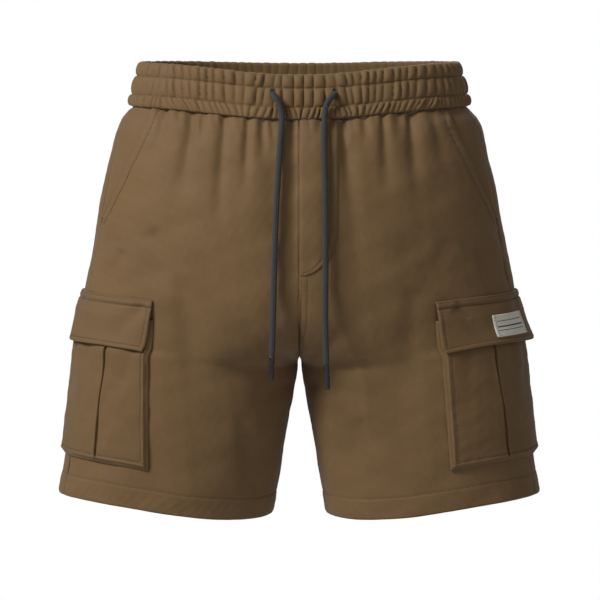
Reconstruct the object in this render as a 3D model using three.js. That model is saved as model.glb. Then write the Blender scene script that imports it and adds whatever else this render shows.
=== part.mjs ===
// Elastic-waist cargo shorts with a drawstring, filled out as if worn, in millimetres.
// +Z is up, the front faces -Y and +X is the wearer's left. The origin is the middle of the waist
// ring, at half the height of the waistband at the sides.
import * as THREE from "three";

// ---- driving sizes ----
const SEAM_GAP = 0.3;
const WALL = 1.6; // body cloth
const TRIM_WALL = 1.3; // pocket, flap and bearer cloth
const BAND_TOP = -22.5; // drop of the waistband's top edge
const WAIST_SEAM = 23;
const HEM = 428; // drop of the hem at the side
const HEM_HEIGHT = 22;
const HEM_WALL = 2.7; // turned up, two layers
const SIDE_SEAM_RUN = 34; // how far in front of the side line the side seam runs
const CORD_DIAMETER = 6.2;

const CLOTH = { color: 0x6d5536, roughness: 0.82, metalness: 0 };
const POCKET_CLOTH = { color: 0x674f31, roughness: 0.82, metalness: 0 };
const LABEL_CLOTH = { color: 0xd7d4c8, roughness: 0.7, metalness: 0 };
const CORD_YARN = { color: 0x2e2f2f, roughness: 0.85, metalness: 0 };
const AGLET_PLASTIC = { color: 0x26272a, roughness: 0.3, metalness: 0 };

// ---- the form: levels round one half of the garment ----
// drop: how far under the origin's level it lies at the side; frontLow, backLow: how much lower it
// is at the centre front and back; half: out to the side line; front, back: depths; innerX, innerY:
// the centre line or inseam; fork: 0 round the torso to 1 round one leg; square: superellipse power.
const LEVEL_COLUMNS = ["drop", "frontLow", "backLow", "half", "front", "back", "innerX", "innerY", "fork", "square"];
const LEVELS = [
  [-22.5, 11.5, 3, 163.5, 95, 97, 0, 0, 0, 2.4],
  [-8, 11, 4, 168, 97, 99, 0, 0, 0, 2.38],
  [11, 11, 5, 173, 100, 101, 0, 0, 0, 2.36],
  [23, 11, 5, 176, 104, 104, 0, 0, 0, 2.35],
  [38, 11, 5, 187, 113, 115, 0, 0, 0, 2.32],
  [65, 11, 4, 195, 119, 125, 0, 0, 0, 2.3],
  [120, 11, 3, 207, 123, 136, 0, 0, 0, 2.25],
  [180, 12, 4, 218, 121, 137, 0, 0, 0, 2.2],
  [220, 13, 8, 226, 117, 131, 0, 0, 0.04, 2.18],
  [246, 16, 14, 229, 111, 123, 0, 1, 0.22, 2.15],
  [262, 19, 18, 231, 104.5, 115.5, 0.3, 3, 0.55, 2.12],
  [272, 21, 20, 232.5, 99, 109, 1.5, 4, 1, 2.1],
  [300, 22, 21, 236, 97, 107, 5.5, 4, 1, 2.1],
  [350, 22, 22, 242, 94, 102, 15, 4, 1, 2.1],
  [395, 23, 22, 248, 90.5, 96.5, 22, 4, 1, 2.1],
  [428, 23, 22, 254, 88, 93, 28, 4, 1, 2.1],
];

// Slope of one column at each level, held so that no stretch between two levels overshoots.
function slopes(column) {
  const rise = (k) => (LEVELS[k + 1][column] - LEVELS[k][column]) / (LEVELS[k + 1][0] - LEVELS[k][0]);
  return LEVELS.map((_, k) => {
    if (k === 0) return rise(0);
    if (k === LEVELS.length - 1) return rise(k - 1);
    const [a, b] = [rise(k - 1), rise(k)];
    return a * b <= 0 ? 0 : (2 * a * b) / (a + b);
  });
}
const SLOPES = LEVEL_COLUMNS.map((_, column) => slopes(column));

// All columns at one drop, by cubic curves between the levels.
function levelAt(drop) {
  let k = 0;
  while (k < LEVELS.length - 2 && LEVELS[k + 1][0] < drop) k += 1;
  const span = LEVELS[k + 1][0] - LEVELS[k][0];
  const u = (drop - LEVELS[k][0]) / span;
  const level = {};
  LEVEL_COLUMNS.forEach((name, column) => {
    const [a, b] = [LEVELS[k][column], LEVELS[k + 1][column]];
    const [p, q] = [SLOPES[column][k] * span, SLOPES[column][k + 1] * span];
    level[name] = a + u * (p + u * (3 * (b - a) - 2 * p - q + u * (2 * (a - b) + p + q)));
  });
  return level;
}

// A point of the form: t runs 0 at the centre front or inseam, 1 at the side line, 2 at the centre
// back or inseam. Across the garment it goes out as a squared sine; its depth blends a half torso
// with a whole leg, both superellipses.
function formPoint(t, drop) {
  const level = levelAt(drop);
  const out = Math.sin((t * Math.PI) / 2) ** 2;
  const power = level.square;
  const depth = t < 1 ? -level.front : level.back;
  const low = t < 1 ? level.frontLow : level.backLow;
  const torsoY = depth * (1 - out ** power) ** (1 / power);
  const legY = level.innerY * (1 - out) + depth * (1 - Math.abs(2 * out - 1) ** power) ** (1 / power);
  return new THREE.Vector3(
    level.innerX + (level.half - level.innerX) * out,
    torsoY + (legY - torsoY) * level.fork,
    -drop - low * (0.5 + 0.5 * Math.cos(Math.PI * out)),
  );
}

// The outward direction at a point of the form, from its neighbours.
function formNormal(t, drop) {
  const [tStep, dropStep] = [0.012, 0.8];
  const along = formPoint(Math.min(t + tStep, 2), drop).sub(formPoint(Math.max(t - tStep, 0), drop));
  const down = formPoint(t, Math.min(drop + dropStep, HEM)).sub(formPoint(t, Math.max(drop - dropStep, BAND_TOP)));
  return down.cross(along).normalize();
}

// A point standing off the form by lift, on the wearer's left (side 1) or right (side -1).
function onForm(side, t, drop, lift) {
  const point = formPoint(t, drop).addScaledVector(formNormal(t, drop), lift);
  point.x = side * Math.max(point.x, SEAM_GAP / 2);
  return point;
}

// t where the form is x out from the middle, on its front.
function tAtX(x, drop) {
  const level = levelAt(drop);
  const out = (x - level.innerX) / (level.half - level.innerX);
  return (2 / Math.PI) * Math.asin(Math.sqrt(Math.min(Math.max(out, 0), 1)));
}

// t at a run along the level from the side line, forwards positive.
const RUN_STEPS = 200;
function tAtRun(run, drop) {
  const direction = run > 0 ? -1 : 1;
  let left = Math.abs(run);
  let last = formPoint(1, drop);
  for (let k = 1; k <= RUN_STEPS; k += 1) {
    const next = formPoint(1 + (direction * k) / RUN_STEPS, drop);
    const length = next.distanceTo(last);
    if (length >= left) return 1 + (direction * (k - 1 + left / length)) / RUN_STEPS;
    left -= length;
    last = next;
  }
  return 1 + direction;
}

// ---- making solids ----
const shorts = new THREE.Group();

function steps(from, to, count) {
  return Array.from({ length: count + 1 }, (_, k) => from + ((to - from) * k) / count);
}

// Values through several stretches, each given as [end, count].
function zones(start, stretches) {
  const values = [start];
  for (const [end, count] of stretches) values.push(...steps(values.at(-1), end, count).slice(1));
  return values;
}

// A closed wall: place(row, column) gives the outer and the inner point of a grid.
function wall(name, material, rows, columns, place) {
  const [rowCount, columnCount] = [rows.length, columns.length];
  const layer = rowCount * columnCount;
  const positions = new Float32Array(6 * layer);
  rows.forEach((row, i) => columns.forEach((column, j) => {
    const [outer, inner] = place(row, column);
    outer.toArray(positions, 3 * (i * columnCount + j));
    inner.toArray(positions, 3 * (layer + i * columnCount + j));
  }));
  const index = [];
  const quad = (a, b, c, d) => index.push(a, b, c, a, c, d);
  const at = (i, j) => i * columnCount + j;
  for (let i = 0; i < rowCount - 1; i += 1) {
    for (let j = 0; j < columnCount - 1; j += 1) {
      const [a, b, c, d] = [at(i, j), at(i + 1, j), at(i + 1, j + 1), at(i, j + 1)];
      quad(a, b, c, d);
      quad(layer + a, layer + d, layer + c, layer + b);
    }
  }
  const rim = (a, b) => quad(b, a, layer + a, layer + b);
  for (let i = 0; i < rowCount - 1; i += 1) {
    rim(at(i, 0), at(i + 1, 0));
    rim(at(i + 1, columnCount - 1), at(i, columnCount - 1));
  }
  for (let j = 0; j < columnCount - 1; j += 1) {
    rim(at(0, j + 1), at(0, j));
    rim(at(rowCount - 1, j), at(rowCount - 1, j + 1));
  }
  addSolid(name, material, positions, index);
}

// Adds a closed body, turned so that its faces point out.
function addSolid(name, material, positions, index) {
  const corner = (k) => new THREE.Vector3().fromArray(positions, 3 * index[k]);
  let volume = 0;
  for (let k = 0; k < index.length; k += 3) volume += corner(k).dot(corner(k + 1).cross(corner(k + 2)));
  if (volume < 0) index.reverse();
  const geometry = new THREE.BufferGeometry();
  geometry.setAttribute("position", new THREE.BufferAttribute(positions, 3));
  geometry.setIndex(index);
  geometry.computeVertexNormals();
  addMesh(name, material, geometry);
}

function addMesh(name, material, geometry) {
  const mesh = new THREE.Mesh(geometry, new THREE.MeshStandardMaterial(material));
  mesh.name = name;
  shorts.add(mesh);
  return mesh;
}

const SIDES = { left: 1, right: -1 };

// ---- waistband: three puffed rows over elastic, in a front and a back half ----
const BAND_ROWS = [BAND_TOP, -8, 11, WAIST_SEAM];
const BAND_PUFF = 2.2; // how far each row swells
const BAND_WALL = 2.2; // behind the stitched valleys

function bandPuff(drop) {
  for (let k = 0; k < BAND_ROWS.length - 1; k += 1) {
    const u = (drop - BAND_ROWS[k]) / (BAND_ROWS[k + 1] - BAND_ROWS[k]);
    if (u >= 0 && u <= 1) return BAND_PUFF * Math.sqrt(Math.max(1 - (2 * u - 1) ** 2, 0));
  }
  return 0;
}

function waistbandHalf(name, tCentre) {
  const rows = [];
  for (let k = 0; k < BAND_ROWS.length - 1; k += 1) {
    const [top, bottom] = [BAND_ROWS[k], BAND_ROWS[k + 1]];
    rows.push(top, top + 0.2 * (bottom - top), bottom - 0.2 * (bottom - top));
  }
  rows.push(WAIST_SEAM);
  const edge = 1 - SEAM_GAP / 2 / 90;
  const columns = steps(-edge, edge, 22);
  wall(name, CLOTH, rows, columns, (drop, u) => {
    const side = u < 0 ? -1 : 1;
    const t = tCentre === 0 ? Math.abs(u) : 2 - Math.abs(u);
    const level = Math.min(drop, WAIST_SEAM - SEAM_GAP / 2);
    const [outer, inner] = [onForm(side, t, level, bandPuff(drop)), onForm(side, t, level, -BAND_WALL)];
    if (u === 0) {
      outer.x = 0;
      inner.x = 0;
    }
    return [outer, inner];
  });
}
waistbandHalf("waistband_front", 0);
waistbandHalf("waistband_back", 2);

// ---- front and back panels ----
const PANEL_ROWS = zones(WAIST_SEAM + SEAM_GAP / 2, [[68, 4], [222, 6], [278, 6], [HEM - HEM_HEIGHT - 0.5, 4],
  [HEM - HEM_HEIGHT + 0.5, 1], [HEM, 1]]);
const PANEL_COLUMNS = steps(0, 1, 13);

// The slanted mouth of the hand pocket, out from the middle at each drop.
const SLANT = { topX: 150, bottomX: 199, bottomDrop: 130 };
function slantX(drop) {
  return SLANT.topX + ((SLANT.bottomX - SLANT.topX) * (drop - WAIST_SEAM)) / (SLANT.bottomDrop - WAIST_SEAM);
}

function tSideSeam(drop) {
  return tAtRun(SIDE_SEAM_RUN, drop);
}

function tFrontEdge(drop) {
  return Math.min(tAtX(slantX(drop), drop), tSideSeam(drop));
}

function panelWall(drop) {
  return drop > HEM - HEM_HEIGHT ? HEM_WALL : WALL;
}

// Takes a point at the inseam half a seam gap towards its own panel.
function clearInseam(point, t, drop) {
  if (t === 0 || t === 2) point.y += (t === 0 ? -0.5 : 0.5) * SEAM_GAP * levelAt(drop).fork;
  return point;
}

function bodyPanel(name, side, tInner, tOuter) {
  wall(name, CLOTH, PANEL_ROWS, PANEL_COLUMNS, (drop, u) => {
    const t = tInner + (tOuter(drop) - tInner) * u;
    return [onForm(side, t, drop, 0), onForm(side, t, drop, -panelWall(drop))].map(
      (point) => clearInseam(point, t, drop),
    );
  });
}

const GAP_T = (SEAM_GAP / 2 / SIDE_SEAM_RUN) * 0.1; // half a seam gap, in t, near the side
for (const [word, side] of Object.entries(SIDES)) {
  bodyPanel(`front_panel_${word}`, side, 0, (drop) => tFrontEdge(drop) - GAP_T);
  bodyPanel(`back_panel_${word}`, side, 2, (drop) => tSideSeam(drop) + GAP_T);
}

// ---- hand pocket bearers: tucked under the slanted mouths, flush with the back at the side seam ----
const BEARER = { tuck: 12, bottom: 134, under: WALL + 1.4, rise: 0.15, rows: 8 };
const BEARER_COLUMNS = [-1, -0.5, BEARER.rise, 0.33, 0.67, 1]; // 0 at the mouth, 1 at the side seam
for (const [word, side] of Object.entries(SIDES)) {
  const rows = steps(WAIST_SEAM + SEAM_GAP / 2, BEARER.bottom, BEARER.rows);
  wall(`pocket_bearer_${word}`, CLOTH, rows, BEARER_COLUMNS, (drop, u) => {
    const mouth = tFrontEdge(drop);
    const t = mouth + u * (u < 0 ? mouth - tAtX(slantX(drop) - BEARER.tuck, drop) : tSideSeam(drop) - GAP_T - mouth);
    const lift = -BEARER.under * Math.min((1 - u) / (1 - BEARER.rise), 1) - 0.2;
    return [onForm(side, t, drop, lift), onForm(side, t, drop, lift - TRIM_WALL)];
  });
}

// ---- mock fly, on the wearer's left front ----
const FLY = { x: 39, straight: 134, bottom: 178.5, lift: 0.35, thick: 0.9 };
function flyX(drop) {
  const u = Math.max((drop - FLY.straight) / (FLY.bottom - FLY.straight), 0);
  return FLY.x * Math.sqrt(Math.max(1 - u * u, 0.01));
}
const FLY_ROWS = zones(WAIST_SEAM + 0.8, [[68, 4], [FLY.straight, 3], [FLY.bottom, 6]]);
wall("fly_placket", CLOTH, FLY_ROWS, steps(0, 1, 5), (drop, u) => {
  const t = tAtX(0.4 + (flyX(drop) - 0.4) * u, drop);
  return [onForm(1, t, drop, FLY.lift + FLY.thick), onForm(1, t, drop, FLY.lift)];
});

// ---- cargo pockets: a gusset, a pleated face and a flap on each thigh ----
// Runs are measured forwards from the side line; both sides end just behind it.
const POCKET = { top: 234, bottom: 386, back: -4, baseLift: 0.5, faceLift: 3.6, lean: 3 };
const POCKET_FRONT = {
  left: { flapTop: 140.5, flapBottom: 138, baseTop: 141, baseBottom: 141 },
  right: { flapTop: 129, flapBottom: 126, baseTop: 130, baseBottom: 141 },
};
const PLEAT = { topRun: 85, bottomRun: { left: 75, right: 82 }, halfWidth: 2.4, depth: 2 };
const FLAP = { top: 215, fold: 222, bottom: 268, foldLift: 3.4, clearLift: 5.5, clearDrop: 234 };
const FLAP_STAND = { left: 13, right: 9 }; // how far the lower edge's back corner stands off

function baseRun(word, drop) {
  const front = POCKET_FRONT[word];
  return front.baseTop + ((front.baseBottom - front.baseTop) * (drop - POCKET.top)) / (POCKET.bottom - POCKET.top);
}

// The pocket's sides and bottom as one path of [run, drop], moved in by inset.
function pocketPath(word, inset) {
  const bottom = POCKET.bottom - inset;
  const down = steps(POCKET.top, bottom, 8).map((drop) => [baseRun(word, drop) - inset, drop]);
  const across = steps(0, 1, 10).map((u) => {
    const front = baseRun(word, bottom) - inset;
    return [front + (POCKET.back + inset - front) * u, bottom];
  });
  const up = steps(bottom, POCKET.top, 8).map((drop) => [POCKET.back + inset, drop]);
  return [...down, ...across.slice(1), ...up.slice(1)];
}

function cargoGusset(word, side) {
  const count = pocketPath(word, 0).length;
  const paths = {
    foot: [pocketPath(word, 0), pocketPath(word, TRIM_WALL)],
    head: [pocketPath(word, POCKET.lean), pocketPath(word, POCKET.lean + TRIM_WALL)],
  };
  const lifts = { foot: POCKET.baseLift, head: POCKET.faceLift - 2 * SEAM_GAP };
  wall(`cargo_gusset_${word}`, POCKET_CLOTH, steps(0, count - 1, count - 1), ["foot", "head"], (k, edge) =>
    paths[edge].map((path) => {
      const [run, drop] = path[k];
      return onForm(side, tAtRun(run, drop), drop, lifts[edge]);
    }),
  );
}

function pleatRun(word, drop) {
  const u = (drop - POCKET.top) / (POCKET.bottom - POCKET.top);
  return PLEAT.topRun + (PLEAT.bottomRun[word] - PLEAT.topRun) * u;
}

function cargoFace(word, side) {
  const rows = steps(POCKET.top, POCKET.bottom - POCKET.lean, 8);
  const columns = [...steps(-1, -0.2, 4), "fold", "valley", "lip", ...steps(0.25, 1, 5)];
  wall(`cargo_face_${word}`, POCKET_CLOTH, rows, columns, (drop, column) => {
    const middle = pleatRun(word, drop);
    const front = baseRun(word, drop) - POCKET.lean;
    const back = POCKET.back + POCKET.lean;
    const marks = { fold: middle + PLEAT.halfWidth, valley: middle, lip: middle - PLEAT.halfWidth };
    let run = marks[column];
    if (column < 0) run = middle - (front - middle) * column;
    if (column > 0) run = middle + (back - middle) * column;
    const sunk = column === "valley" && drop < rows.at(-2);
    const lift = POCKET.faceLift - (sunk ? PLEAT.depth : 0);
    const t = tAtRun(run, drop);
    return [onForm(side, t, drop, lift + TRIM_WALL), onForm(side, t, drop, lift)];
  });
}

// The flap's inner face: sewn down along the top, over the pocket's mouth, then standing off more
// towards its back corner.
function flapLift(word, run, drop) {
  const blend = (a, b, u) => a + (b - a) * Math.min(Math.max(u, 0), 1);
  if (drop <= FLAP.fold) return blend(POCKET.baseLift, FLAP.foldLift - 1, (drop - FLAP.top) / (FLAP.fold - FLAP.top));
  if (drop <= FLAP.clearDrop) {
    return blend(FLAP.foldLift - 1, FLAP.clearLift, (drop - FLAP.fold) / (FLAP.clearDrop - FLAP.fold));
  }
  const stand = blend(FLAP_STAND[word], FLAP.clearLift + 2, run / 120);
  return blend(FLAP.clearLift, stand, (drop - FLAP.clearDrop) / (FLAP.bottom - FLAP.clearDrop));
}

function flapFront(word, drop) {
  const front = POCKET_FRONT[word];
  const u = (drop - FLAP.top) / (FLAP.bottom - FLAP.top);
  return front.flapTop + (front.flapBottom - front.flapTop) * u;
}

function cargoFlap(word, side) {
  const rows = [FLAP.top, FLAP.fold, ...steps(FLAP.clearDrop, FLAP.bottom, 3)];
  wall(`cargo_flap_${word}`, POCKET_CLOTH, rows, steps(0, 1, 12), (drop, u) => {
    const run = flapFront(word, drop) + (POCKET.back - flapFront(word, drop)) * u;
    const lift = flapLift(word, run, drop);
    const t = tAtRun(run, drop);
    return [onForm(side, t, drop, lift + TRIM_WALL), onForm(side, t, drop, lift)];
  });
}

for (const [word, side] of Object.entries(SIDES)) {
  cargoGusset(word, side);
  cargoFace(word, side);
  cargoFlap(word, side);
}

// ---- bare cloth patch on the wearer's left flap ----
const PATCH = { frontRun: 79, backRun: 27, top: 236, bottom: 260, thick: 0.7 };
wall("flap_patch", LABEL_CLOTH, steps(PATCH.top, PATCH.bottom, 2), steps(PATCH.frontRun, PATCH.backRun, 5), (drop, run) => {
  const lift = flapLift("left", run, drop) + TRIM_WALL + 0.6;
  const t = tAtRun(run, drop);
  return [onForm(1, t, drop, lift + PATCH.thick), onForm(1, t, drop, lift)];
});

// ---- drawcords: out of the waistband, over the fronts and hanging free, each with its aglet ----
const CORD_ROUTES = {
  left: [[35.2, -100.6, -8.5], [34.3, -104.8, -9.4], [31.6, -108.2, -12], [28.2, -109, -17], [25.9, -110, -25],
    [25, -112.6, -35], [24.5, -118.3, -48], [24.8, -123.6, -70], [25.5, -126.2, -91], [25.9, -127.8, -112],
    [26.1, -128.6, -134], [26.2, -128.7, -160], [26.2, -128.3, -186], [26.1, -127.6, -208], [26, -127, -229],
    [26.3, -126.4, -256], [27.3, -126, -281]],
  right: [[-27.3, -100.5, -8.5], [-26.6, -104.6, -9.4], [-24.4, -107.8, -12], [-21, -108.6, -17], [-18.6, -109.4, -25],
    [-17.8, -112, -35], [-18.7, -117.6, -48], [-20.2, -122.8, -70], [-21.5, -125.4, -91], [-22.7, -127, -112],
    [-23.7, -127.8, -134], [-24.7, -127.9, -160], [-25.4, -127.5, -186], [-26, -126.9, -208], [-26.5, -126.4, -229],
    [-27.2, -125.9, -251], [-27.9, -125.5, -272]],
};
const CORD_STEPS = 30;
const AGLET = { radius: 2.8, length: 25.5, tip: 2.6 };

function drawcord(word, route) {
  const path = new THREE.CatmullRomCurve3(route.map((point) => new THREE.Vector3(...point)), false, "centripetal");
  const section = new THREE.Shape();
  section.absarc(0, 0, CORD_DIAMETER / 2, 0, 2 * Math.PI);
  addMesh(`drawcord_${word}`, CORD_YARN, new THREE.ExtrudeGeometry(section, {
    steps: CORD_STEPS, curveSegments: 4, bevelEnabled: false, extrudePath: path,
  }));
  const end = path.getPoint(1);
  const direction = path.getTangent(1);
  const profile = [[0, 0], [AGLET.radius, 0], [AGLET.radius, AGLET.length - AGLET.tip],
    [0.6 * AGLET.radius, AGLET.length - 0.3 * AGLET.tip], [0, AGLET.length]];
  const aglet = addMesh(`aglet_${word}`, AGLET_PLASTIC, new THREE.LatheGeometry(
    profile.map(([r, along]) => new THREE.Vector2(r, along)), 12,
  ));
  aglet.quaternion.setFromUnitVectors(new THREE.Vector3(0, 1, 0), direction);
  aglet.position.copy(end).addScaledVector(direction, SEAM_GAP);
}
for (const [word, route] of Object.entries(CORD_ROUTES)) drawcord(word, route);

export default shorts;
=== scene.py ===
"""Elastic-waist cargo shorts with a drawstring: the cloth, stitching, cords and patch, in metres."""

import math

import bpy
import numpy as np
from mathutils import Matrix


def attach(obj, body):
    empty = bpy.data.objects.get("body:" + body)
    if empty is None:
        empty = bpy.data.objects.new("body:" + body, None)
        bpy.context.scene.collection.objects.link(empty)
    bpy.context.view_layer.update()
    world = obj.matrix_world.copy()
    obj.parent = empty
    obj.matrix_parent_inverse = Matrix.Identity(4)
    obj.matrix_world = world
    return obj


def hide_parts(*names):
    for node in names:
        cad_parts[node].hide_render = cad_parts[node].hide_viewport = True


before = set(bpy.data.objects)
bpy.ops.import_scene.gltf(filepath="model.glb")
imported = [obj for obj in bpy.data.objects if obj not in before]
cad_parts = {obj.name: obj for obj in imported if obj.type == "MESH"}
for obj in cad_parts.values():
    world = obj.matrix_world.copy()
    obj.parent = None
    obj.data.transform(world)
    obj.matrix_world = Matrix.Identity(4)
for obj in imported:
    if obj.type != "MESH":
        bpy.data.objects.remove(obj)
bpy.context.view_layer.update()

MM = 0.001  # garment sizes below are in millimetres; meshes are made in metres
SIDES = {"left": 1, "right": -1}

# ---- form of the garment
# A level's drop, how far its middle sags in front and behind, its half width, its depths in front and
# behind, where the inseam lies, how far it is split into legs, and how square its corners are.
LEVEL_COLUMNS = ("drop", "front_low", "back_low", "half", "front", "back",
                 "inner_x", "inner_y", "fork", "square")
LEVELS = np.array([
    (-22.5, 11.5, 3, 163.5, 95, 97, 0, 0, 0, 2.4),
    (-8, 11, 4, 168, 97, 99, 0, 0, 0, 2.38),
    (11, 11, 5, 173, 100, 101, 0, 0, 0, 2.36),
    (23, 11, 5, 176, 104, 104, 0, 0, 0, 2.35),
    (38, 11, 5, 187, 113, 115, 0, 0, 0, 2.32),
    (65, 11, 4, 195, 119, 125, 0, 0, 0, 2.3),
    (120, 11, 3, 207, 123, 136, 0, 0, 0, 2.25),
    (180, 12, 4, 218, 121, 137, 0, 0, 0, 2.2),
    (220, 13, 8, 226, 117, 131, 0, 0, 0.04, 2.18),
    (246, 16, 14, 229, 111, 123, 0, 1, 0.22, 2.15),
    (262, 19, 18, 231, 104.5, 115.5, 0.3, 3, 0.55, 2.12),
    (272, 21, 20, 232.5, 99, 109, 1.5, 4, 1, 2.1),
    (300, 22, 21, 236, 97, 107, 5.5, 4, 1, 2.1),
    (350, 22, 22, 242, 94, 102, 15, 4, 1, 2.1),
    (395, 23, 22, 248, 90.5, 96.5, 22, 4, 1, 2.1),
    (428, 23, 22, 254, 88, 93, 28, 4, 1, 2.1),
])
BAND_TOP, BAND_STITCHES, WAIST_SEAM = -22.5, (-8, 11), 23
HEM, HEM_STITCH = 428, 406
WALL, TRIM_WALL, HEM_WALL = 1.6, 1.3, 2.7
SIDE_SEAM_RUN = 34
T_STEP, DROP_STEP = 0.012, 0.8  # for directions on the form


def level_slopes(column):
    """Harmonic mean of the two neighbouring slopes, and none at a turning point."""
    rise = np.diff(LEVELS[:, column]) / np.diff(LEVELS[:, 0])
    a, b = rise[:-1], rise[1:]
    inside = np.where(a * b > 0, 2 * a * b / np.where(a + b == 0, 1, a + b), 0)
    return np.concatenate([rise[:1], inside, rise[-1:]])


SLOPES = np.stack([level_slopes(k) for k in range(len(LEVEL_COLUMNS))], axis=1)


def level_at(drop):
    """Every column at a drop, by cubic curves between the levels."""
    k = np.clip(np.searchsorted(LEVELS[:, 0], drop, side="right") - 1, 0, len(LEVELS) - 2)
    span = LEVELS[k + 1, 0] - LEVELS[k, 0]
    u = ((drop - LEVELS[k, 0]) / span)[..., None]
    a, b = LEVELS[k], LEVELS[k + 1]
    p, q = SLOPES[k] * span[..., None], SLOPES[k + 1] * span[..., None]
    values = a + u * (p + u * (3 * (b - a) - 2 * p - q + u * (2 * (a - b) + p + q)))
    return dict(zip(LEVEL_COLUMNS, np.moveaxis(values, -1, 0)))


def form_point(t, drop):
    """t is 0 at the centre front or inseam, 1 at the side line, 2 at the centre back: x goes out as
    sine squared, and the depth blends a half torso with a whole leg, both superellipses."""
    t, drop = np.broadcast_arrays(np.asarray(t, float), np.asarray(drop, float))
    level = level_at(drop)
    out = np.sin(t * np.pi / 2) ** 2
    power = level["square"]
    depth = np.where(t < 1, -level["front"], level["back"])
    low = np.where(t < 1, level["front_low"], level["back_low"])
    torso = depth * np.maximum(1 - out**power, 0) ** (1 / power)
    round_leg = np.maximum(1 - np.abs(2 * out - 1) ** power, 0) ** (1 / power)
    leg = level["inner_y"] * (1 - out) + depth * round_leg
    x = level["inner_x"] + (level["half"] - level["inner_x"]) * out
    y = torso + (leg - torso) * level["fork"]
    z = -drop - low * (0.5 + 0.5 * np.cos(np.pi * out))
    return np.stack([x, y, z], axis=-1)


def form_normal(t, drop):
    """Outward direction: the cross product of the steps down and along, from close neighbours."""
    along = form_point(np.minimum(t + T_STEP, 2), drop) - form_point(np.maximum(t - T_STEP, 0), drop)
    lower, upper = np.minimum(drop + DROP_STEP, HEM), np.maximum(drop - DROP_STEP, BAND_TOP)
    down = form_point(t, lower) - form_point(t, upper)
    normal = np.cross(down, along)
    return normal / np.linalg.norm(normal, axis=-1, keepdims=True)


def on_form(side, t, drop, lift):
    """A point standing off the form by lift, on one side of the garment."""
    t, drop, lift = np.broadcast_arrays(*(np.asarray(v, float) for v in (t, drop, lift)))
    point = form_point(t, drop) + form_normal(t, drop) * lift[..., None]
    point[..., 0] = side * np.maximum(point[..., 0], 0)
    return point


def t_at_x(x, drop):
    """t where the front of the form is x out from the middle."""
    level = level_at(np.asarray(drop, float))
    out = (x - level["inner_x"]) / (level["half"] - level["inner_x"])
    return 2 / np.pi * np.arcsin(np.sqrt(np.clip(out, 0, 1)))


TABLE_STEP = 2.5  # drop between the rows of the two tables of lengths
TABLE_HALF = 200  # columns from the centre front to the side line
RUN_REACH = 330  # the farthest run looked up
RUN_DROPS = np.arange(BAND_TOP, HEM + 0.1, TABLE_STEP)
RUN_TS = np.linspace(0, 2, 2 * TABLE_HALF + 1)


def run_table():
    """Length along each level from the side line, forwards positive, at every t."""
    points = form_point(RUN_TS[None, :], RUN_DROPS[:, None])
    length = np.linalg.norm(np.diff(points, axis=1), axis=2)
    total = np.concatenate([np.zeros((len(RUN_DROPS), 1)), np.cumsum(length, axis=1)], axis=1)
    return total[:, TABLE_HALF:TABLE_HALF + 1] - total


RUNS = run_table()
RUN_GRID = np.arange(-RUN_REACH, RUN_REACH + 1, 1.0)
TS_AT_RUN = np.stack([np.interp(-RUN_GRID, -row, RUN_TS) for row in RUNS])


def between(table, drop, position):
    """Straight-line look-up in a table of rows at RUN_DROPS."""
    r = np.clip((drop - RUN_DROPS[0]) / TABLE_STEP, 0, len(RUN_DROPS) - 1.001)
    c = np.clip(position, 0, table.shape[1] - 1.001)
    i, j = r.astype(int), c.astype(int)
    u, v = r - i, c - j
    top = table[i, j] * (1 - v) + table[i, j + 1] * v
    return top * (1 - u) + (table[i + 1, j] * (1 - v) + table[i + 1, j + 1] * v) * u


def t_at_run(run, drop):
    """t at a length along the level from the side line, forwards positive."""
    run, drop = np.broadcast_arrays(np.asarray(run, float), np.asarray(drop, float))
    return between(TS_AT_RUN, drop, run - RUN_GRID[0])


def run_at_t(t, drop):
    """Length along the level from the side line to t, forwards positive."""
    t, drop = np.broadcast_arrays(np.asarray(t, float), np.asarray(drop, float))
    return between(RUNS, drop, t * TABLE_HALF)


def smooth(u):
    """From 0 to 1 as u goes from 0 to 1, level at both ends."""
    u = np.clip(u, 0, 1)
    return u * u * (3 - 2 * u)


def bell(distance, width):
    """1 at no distance, falling off on both sides within about a width."""
    return np.exp(-((distance / width) ** 2))


def length_along(points):
    """How far along a line each of its points lies."""
    return np.concatenate([[0], np.cumsum(np.linalg.norm(np.diff(points, axis=0), axis=1))])


def stretches(*parts):
    """Evenly spaced numbers in each (start, end, count) part, with shared ends given once."""
    rows = [np.linspace(*part) for part in parts]
    return np.concatenate([rows[0]] + [row[1:] for row in rows[1:]])


# ---- creases
CREASE = ("x0", "drop0", "x1", "drop1", "width", "depth")
CREASE_DEPTH = 1.9  # deepens every crease in the tables alike
FRONT_CREASES = [
    (-108, 20, -124, 128, 6, 2.6), (-76, 20, -84, 150, 5, 2.2), (-52, 20, -56, 110, 4, 2.4),
    (-38, 20, -37, 74, 4, 2), (-27, 24, -26, 180, 9, 1), (-7, 20, -6, 250, 6, 1.6),
    (44, 20, 49, 120, 4.5, 2.3), (52, 60, 58, 215, 9, 1.2), (84, 20, 90, 110, 5, 2.3),
    (112, 20, 120, 120, 5.5, 2.2), (134, 20, 150, 96, 5, 1.6), (-136, 20, -152, 90, 5, 1.7),
    (-96, 20, -101, 58, 3.5, 1.6), (66, 20, 68, 52, 3.5, 1.4), (99, 20, 103, 50, 3.5, 1.5),
    (20, 20, 20, 48, 4, 1),
    (10, 262, 66, 226, 7, 1.5), (-9, 264, -74, 230, 7, 1.6), (14, 290, 84, 296, 9, 1.3),
    (-14, 290, -70, 312, 9, 1.3), (-118, 205, -96, 392, 15, 1.6), (116, 215, 98, 398, 15, 1.5),
    (-182, 172, -204, 216, 7, 1.4), (186, 168, 206, 212, 7, 1.8), (60, 330, 40, 424, 12, 1.1),
    (-56, 326, -42, 424, 12, 1.2), (-150, 150, -120, 214, 12, 1.1), (150, 158, 118, 218, 12, 1),
]
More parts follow.
